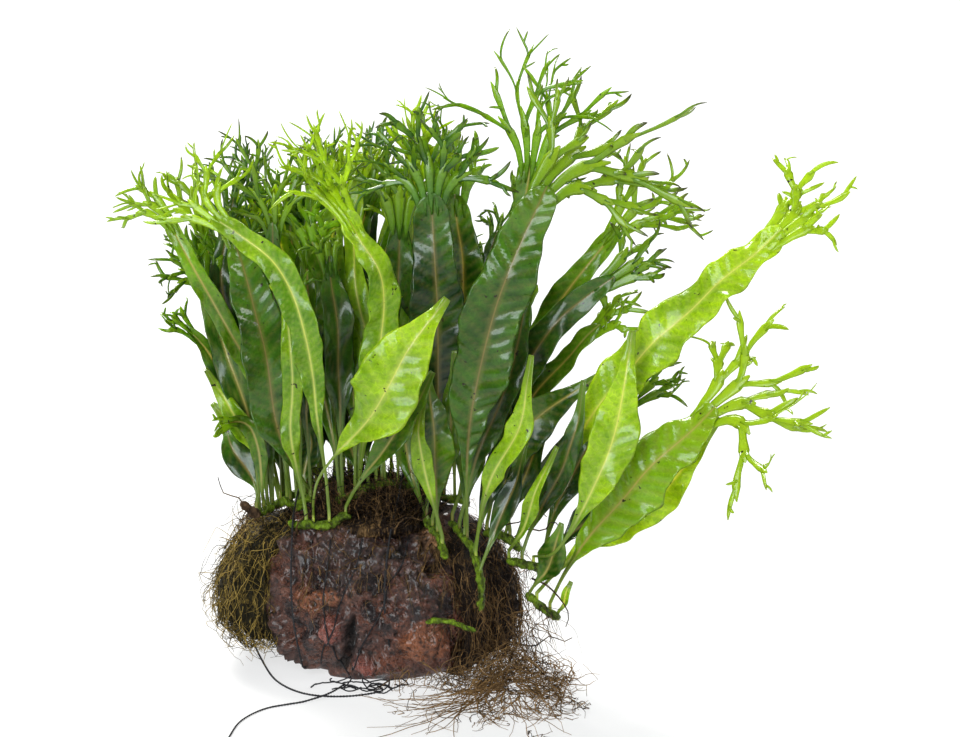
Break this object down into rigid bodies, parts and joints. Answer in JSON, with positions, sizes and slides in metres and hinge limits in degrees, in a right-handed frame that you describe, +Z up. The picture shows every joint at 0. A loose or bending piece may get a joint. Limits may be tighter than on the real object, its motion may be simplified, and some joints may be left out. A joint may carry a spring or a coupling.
{
  "type": "java fern on lava rock",
  "caption": "Bushy crested aquarium fern with strap fronds and wiry roots, tied with black thread to a lump of lava rock.",
  "frame": {"origin": "middle of the flat underside of the rock, on the surface it stands on", "axes": "+X to the right, +Y away from the front, +Z up"},
  "size_m": [0.2532, 0.2056, 0.2289],
  "materials": {
    "lava_rock": "rough wet dark red-brown porous stone",
    "roots": "wiry brown roots",
    "rhizome": "satin green creeping stem",
    "stub": "dead brown stem",
    "thread": "black twisted cotton",
    "lime": "wet glossy young yellow-green frond",
    "mid": "wet glossy green frond",
    "dark": "wet glossy dark blue-green frond"
  },
  "bodies": {
    "root": {"lava_rock": "lava_rock", "root_mat_left": "roots", "root_mat_right": "roots", "root_mat_top": "roots", "root_mat_floor": "roots", "old_rhizome_stub": "stub", "rhizome_left": "rhizome", "rhizome_front_left": "rhizome", "rhizome_middle": "rhizome", "rhizome_centre": "rhizome", "rhizome_right": "rhizome", "rhizome_branch": "rhizome", "rhizome_far_right": "rhizome", "rhizome_low_right": "rhizome", "rhizome_back": "rhizome", "rhizome_runner": "rhizome", "thread_turn_left": "thread", "thread_turn_right": "thread", "thread_tail_left": "thread", "thread_tail_front": "thread", "frond_left_outer": "mid", "frond_left_curl": "mid", "frond_left_tuft": "dark", "frond_left_yellow": "mid", "frond_left_laced": "dark", "frond_left_glossy": "dark", "frond_left_lime": "lime", "frond_front_under": "mid", "frond_front_pale": "lime", "frond_left_slim": "lime", "frond_mid_pierced": "mid", "frond_mid_bright": "lime", "frond_mid_deep": "dark", "frond_mid_broad": "mid", "frond_mid_tall": "dark", "frond_front_back": "mid", "frond_front_small": "mid", "frond_front_narrow": "lime", "frond_mid_crown": "mid", "frond_mid_shade": "dark", "frond_mid_blue": "dark", "frond_right_young": "lime", "frond_right_olive": "mid", "frond_right_spotted": "dark", "frond_right_sweep": "mid", "frond_right_long": "lime", "frond_right_fleshy": "lime", "frond_right_gloss": "dark", "frond_right_bright": "lime", "frond_low_dark": "dark", "frond_low_yellow": "lime", "frond_low_quilted": "mid", "frond_left_deep": "dark", "frond_rear_left": "mid", "frond_rear_middle": "dark", "frond_rear_arch": "mid", "frond_rear_right": "mid", "frond_rear_far_right": "dark", "frond_right_lace": "mid"}
  },
  "joints": []
}
